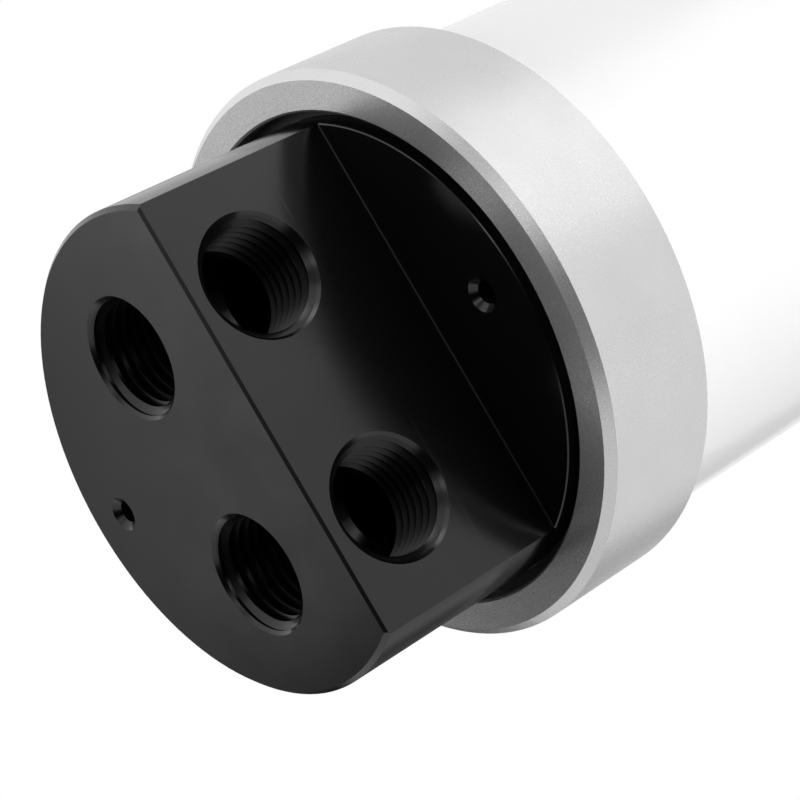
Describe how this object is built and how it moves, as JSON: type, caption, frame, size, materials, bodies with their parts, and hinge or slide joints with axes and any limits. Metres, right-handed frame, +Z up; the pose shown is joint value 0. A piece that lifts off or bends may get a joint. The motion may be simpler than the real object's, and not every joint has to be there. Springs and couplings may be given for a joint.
{
  "type": "water cooling reservoir",
  "caption": "Cylindrical coolant reservoir: translucent tube between a D-shaped black port block in an aluminium collar and a screwed cap with filling plug.",
  "frame": {"origin": "centre of the foot's bottom face, on the tube's axis", "axes": "+Z up the tube's axis, the flat side face with two ports towards -Y, +X along that face"},
  "size_m": [0.0656, 0.0656, 0.2003],
  "materials": {
    "black_acetal": "machined satin",
    "anodised_aluminium": "bead-blasted, clear anodised",
    "nickel_plate": "satin nickel plate on brass",
    "clear_acrylic": "polished clear",
    "opal_acrylic": "polished, translucent white",
    "seal_rubber": "moulded"
  },
  "bodies": {
    "reservoir": {"port_block": "black_acetal", "lower_collar": "anodised_aluminium", "lower_gasket": "seal_rubber", "block_wet_seal": "seal_rubber", "block_dry_seal": "seal_rubber", "tank_tube": "opal_acrylic", "upper_collar": "anodised_aluminium", "upper_gasket": "seal_rubber", "riser_nipple": "nickel_plate", "riser_seal": "seal_rubber", "riser_tube": "clear_acrylic", "outlet_cross": "black_acetal"},
    "cap_seals": {"cap_wet_seal": "seal_rubber", "cap_dry_seal": "seal_rubber"},
    "cap": {"top_cap": "black_acetal"},
    "fill_seal": {"fill_plug_seal": "seal_rubber"},
    "fill_plug": {"fill_plug": "anodised_aluminium"},
    "left_seal": {"left_plug_seal": "seal_rubber"},
    "left_plug": {"left_stop_plug": "nickel_plate"},
    "right_seal": {"right_plug_seal": "seal_rubber"},
    "right_plug": {"right_stop_plug": "nickel_plate"}
  },
  "joints": [
    {"name": "cap_lift", "type": "slide", "parent": "reservoir", "child": "cap_seals", "axis": [0, 0, 1], "range_m": [0, 0.00624]},
    {"name": "cap_turn", "type": "hinge", "parent": "cap_seals", "child": "cap", "pos_m": [0, 0, 0.19095], "axis": [0, 0, 1], "range_deg": [0, 1500]},
    {"name": "fill_lift", "type": "slide", "parent": "cap", "child": "fill_seal", "axis": [0, 0, 1], "range_m": [0, 0.00556]},
    {"name": "fill_turn", "type": "hinge", "parent": "fill_seal", "child": "fill_plug", "pos_m": [0, 0.01484, 0.1913], "axis": [0, 0, 1], "range_deg": [0, 1500]},
    {"name": "left_lift", "type": "slide", "parent": "cap", "child": "left_seal", "axis": [0, 0, 1], "range_m": [0, 0.00556]},
    {"name": "left_turn", "type": "hinge", "parent": "left_seal", "child": "left_plug", "pos_m": [-0.01285, -0.00742, 0.1913], "axis": [0, 0, 1], "range_deg": [0, 1500]},
    {"name": "right_lift", "type": "slide", "parent": "cap", "child": "right_seal", "axis": [0, 0, 1], "range_m": [0, 0.00556]},
    {"name": "right_turn", "type": "hinge", "parent": "right_seal", "child": "right_plug", "pos_m": [0.01285, -0.00742, 0.1913], "axis": [0, 0, 1], "range_deg": [0, 1500]}
  ],
  "couplings": [
    {"joint": "cap_turn", "follows": "cap_lift", "rad_per_m": 4188.8},
    {"joint": "fill_turn", "follows": "fill_lift", "rad_per_m": 4699.5},
    {"joint": "left_turn", "follows": "left_lift", "rad_per_m": 4699.5},
    {"joint": "right_turn", "follows": "right_lift", "rad_per_m": 4699.5}
  ]
}
